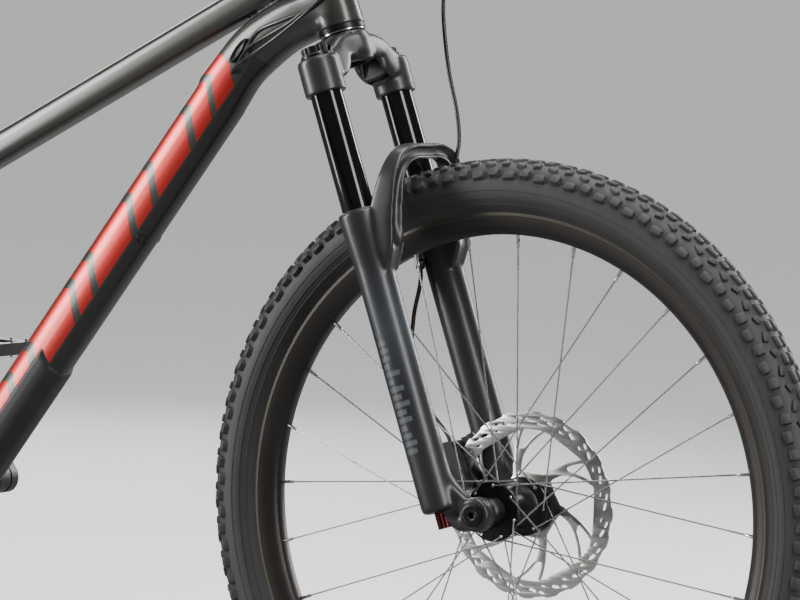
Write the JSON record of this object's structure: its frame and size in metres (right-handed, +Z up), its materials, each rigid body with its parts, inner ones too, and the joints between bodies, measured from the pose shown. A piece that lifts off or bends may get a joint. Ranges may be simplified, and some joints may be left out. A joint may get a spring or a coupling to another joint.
{
  "type": "mountain bike",
  "caption": "Hardtail mountain bike with a suspension fork, disc brakes, a dropper seat post and a single-ring drivetrain.",
  "frame": {"origin": "on the ground, midway between the two wheels and in the bike's middle plane", "axes": "+X forward, +Y to the rider's left, +Z up"},
  "size_m": [1.9278, 0.78, 1.0695],
  "materials": {
    "frame_paint": "satin metallic grey paint",
    "fork_black": "satin black enamel",
    "anodised_black": "black anodised",
    "stanchion_black": "polished dark coating",
    "black_plastic": "fine grain",
    "hose_black": "smooth",
    "tyre_rubber": "moulded",
    "grip_rubber": "knurled",
    "rim_black": "satin",
    "spoke_steel": "drawn",
    "rotor_steel": "ground",
    "cog_steel": "plated",
    "race_steel": "bright",
    "saddle_cover": "synthetic leather",
    "knob_red": "red anodised"
  },
  "bodies": {
    "frame": {"head_tube": "frame_paint", "top_tube": "frame_paint", "down_tube": "frame_paint", "seat_tube": "frame_paint", "bb_shell": "frame_paint", "chainstays": "frame_paint", "seatstays": "frame_paint", "downtube_guard": "black_plastic", "cable_port": "black_plastic", "bearing_cups": "race_steel", "seat_clamp": "anodised_black", "seatpost_outer": "anodised_black", "rear_caliper": "anodised_black", "rear_axle": "anodised_black", "derailleur_hanger": "anodised_black", "control_lines": "hose_black", "chain": "cog_steel"},
    "fork_upper": {"crown_steerer": "fork_black", "stanchions": "stanchion_black", "stem": "anodised_black", "headset_spacers": "anodised_black", "handlebar": "anodised_black", "grips": "grip_rubber", "brake_masters": "anodised_black", "shifter_pods": "black_plastic", "front_brake_hose": "hose_black"},
    "compression_knob": {"compression_knob": "anodised_black"},
    "brake_blade_left": {"brake_blade_left": "anodised_black"},
    "brake_blade_right": {"brake_blade_right": "anodised_black"},
    "shift_paddle_main": {"shift_paddle_main": "black_plastic"},
    "shift_paddle_release": {"shift_paddle_release": "black_plastic"},
    "dropper_paddle": {"dropper_paddle": "black_plastic"},
    "fork_lower": {"fork_lowers": "fork_black", "dust_seals": "black_plastic", "damper_rods": "race_steel", "front_axle": "anodised_black", "front_caliper": "anodised_black"},
    "rebound_knob": {"rebound_knob": "knob_red"},
    "front_wheel": {"front_tyre": "tyre_rubber", "front_rim": "rim_black", "front_spokes": "spoke_steel", "front_hub": "anodised_black", "front_rotor": "rotor_steel"},
    "rear_wheel": {"rear_tyre": "tyre_rubber", "rear_rim": "rim_black", "rear_spokes": "spoke_steel", "rear_hub": "anodised_black", "rear_rotor": "rotor_steel"},
    "cassette": {"cassette": "cog_steel"},
    "crankset": {"crank": "anodised_black", "chainring": "anodised_black"},
    "pedal_left": {"pedal_left": "anodised_black"},
    "pedal_right": {"pedal_right": "anodised_black"},
    "saddle_post": {"seatpost_inner": "anodised_black", "saddle": "saddle_cover"},
    "derailleur_linkage": {"derailleur_linkage": "black_plastic"},
    "derailleur_knuckle": {"derailleur_knuckle": "anodised_black"},
    "derailleur_cage": {"derailleur_cage": "anodised_black"},
    "jockey_guide": {"jockey_guide": "anodised_black"},
    "jockey_tension": {"jockey_tension": "anodised_black"}
  },
  "joints": [
    {"name": "steer", "type": "hinge", "parent": "frame", "child": "fork_upper", "pos_m": [0.33763, 0, 0.92142], "axis": [-0.3535, 0, 0.9354], "range_deg": [-60, 60], "deforming": ["control_lines"]},
    {"name": "fork_travel", "type": "slide", "parent": "fork_upper", "child": "fork_lower", "axis": [-0.3535, 0, 0.9354], "range_m": [0, 0.13], "stiffness_N_per_m": 6000, "springref_m": -0.01, "deforming": ["front_brake_hose"]},
    {"name": "front_wheel_spin", "type": "hinge", "parent": "fork_lower", "child": "front_wheel", "pos_m": [0.589, 0, 0.375], "axis": [0, 1, 0], "continuous": true},
    {"name": "rear_wheel_spin", "type": "hinge", "parent": "frame", "child": "rear_wheel", "pos_m": [-0.589, 0, 0.375], "axis": [0, 1, 0], "continuous": true},
    {"name": "crank_spin", "type": "hinge", "parent": "frame", "child": "crankset", "pos_m": [-0.156, 0, 0.33], "axis": [0, 1, 0], "continuous": true, "deforming": ["chain"]},
    {"name": "cassette_spin", "type": "hinge", "parent": "frame", "child": "cassette", "pos_m": [-0.589, 0, 0.375], "axis": [0, 1, 0], "continuous": true},
    {"name": "pedal_left_spin", "type": "hinge", "parent": "crankset", "child": "pedal_left", "pos_m": [-0.25386, 0.138, 0.47508], "axis": [0, 1, 0], "continuous": true},
    {"name": "pedal_right_spin", "type": "hinge", "parent": "crankset", "child": "pedal_right", "pos_m": [-0.05814, -0.138, 0.18492], "axis": [0, 1, 0], "continuous": true},
    {"name": "saddle_drop", "type": "slide", "parent": "frame", "child": "saddle_post", "axis": [-0.284, 0, 0.9588], "range_m": [-0.15, 0]},
    {"name": "compression_turn", "type": "hinge", "parent": "fork_upper", "child": "compression_knob", "pos_m": [0.36659, -0.07, 0.85326], "axis": [-0.3535, 0, 0.9354], "range_deg": [0, 90]},
    {"name": "rebound_turn", "type": "hinge", "parent": "fork_lower", "child": "rebound_knob", "pos_m": [0.5511, -0.07, 0.36496], "axis": [-0.3535, 0, 0.9354], "range_deg": [-180, 180]},
    {"name": "brake_left_pull", "type": "hinge", "parent": "fork_upper", "child": "brake_blade_left", "pos_m": [0.35187, 0.23511, 1.03903], "axis": [0.4216, 0.0939, 0.9019], "range_deg": [0, 18], "stiffness_Nm_per_rad": 1.5, "springref_deg": -5.73},
    {"name": "brake_right_pull", "type": "hinge", "parent": "fork_upper", "child": "brake_blade_right", "pos_m": [0.35187, -0.23511, 1.03903], "axis": [-0.4216, 0.0939, -0.9019], "range_deg": [0, 18], "stiffness_Nm_per_rad": 1.5, "springref_deg": -5.73},
    {"name": "shift_main_push", "type": "hinge", "parent": "fork_upper", "child": "shift_paddle_main", "pos_m": [0.33519, -0.194, 1.02339], "axis": [0.4216, -0.0939, 0.9019], "range_deg": [0, 25], "stiffness_Nm_per_rad": 1, "springref_deg": -5.73},
    {"name": "shift_release_push", "type": "hinge", "parent": "fork_upper", "child": "shift_paddle_release", "pos_m": [0.33688, -0.19437, 1.027], "axis": [0.4216, -0.0939, 0.9019], "range_deg": [0, 20], "stiffness_Nm_per_rad": 1, "springref_deg": -5.73},
    {"name": "dropper_push", "type": "hinge", "parent": "fork_upper", "child": "dropper_paddle", "pos_m": [0.33519, 0.194, 1.02339], "axis": [-0.4216, -0.0939, -0.9019], "range_deg": [0, 25], "stiffness_Nm_per_rad": 1, "springref_deg": -5.73},
    {"name": "derailleur_shift", "type": "hinge", "parent": "frame", "child": "derailleur_linkage", "pos_m": [-0.598, -0.092, 0.335], "axis": [1, 0, 0], "range_deg": [-16, 14]},
    {"name": "derailleur_level", "type": "hinge", "parent": "derailleur_linkage", "child": "derailleur_knuckle", "pos_m": [-0.598, -0.092, 0.263], "axis": [1, 0, 0], "range_deg": [-14, 16]},
    {"name": "cage_tension", "type": "hinge", "parent": "derailleur_knuckle", "child": "derailleur_cage", "pos_m": [-0.594, 0, 0.24], "axis": [0, 1, 0], "range_deg": [-45, 30], "stiffness_Nm_per_rad": 2},
    {"name": "jockey_guide_spin", "type": "hinge", "parent": "derailleur_cage", "child": "jockey_guide", "pos_m": [-0.594, 0, 0.24], "axis": [0, 1, 0], "continuous": true},
    {"name": "jockey_tension_spin", "type": "hinge", "parent": "derailleur_cage", "child": "jockey_tension", "pos_m": [-0.562, 0, 0.158], "axis": [0, 1, 0], "continuous": true}
  ],
  "couplings": [
    {"joint": "cassette_spin", "follows": "crank_spin", "ratio": 1.3333},
    {"joint": "jockey_guide_spin", "follows": "crank_spin", "ratio": -2.6667},
    {"joint": "jockey_tension_spin", "follows": "crank_spin", "ratio": 2.6667},
    {"joint": "derailleur_level", "follows": "derailleur_shift", "ratio": -1}
  ]
}
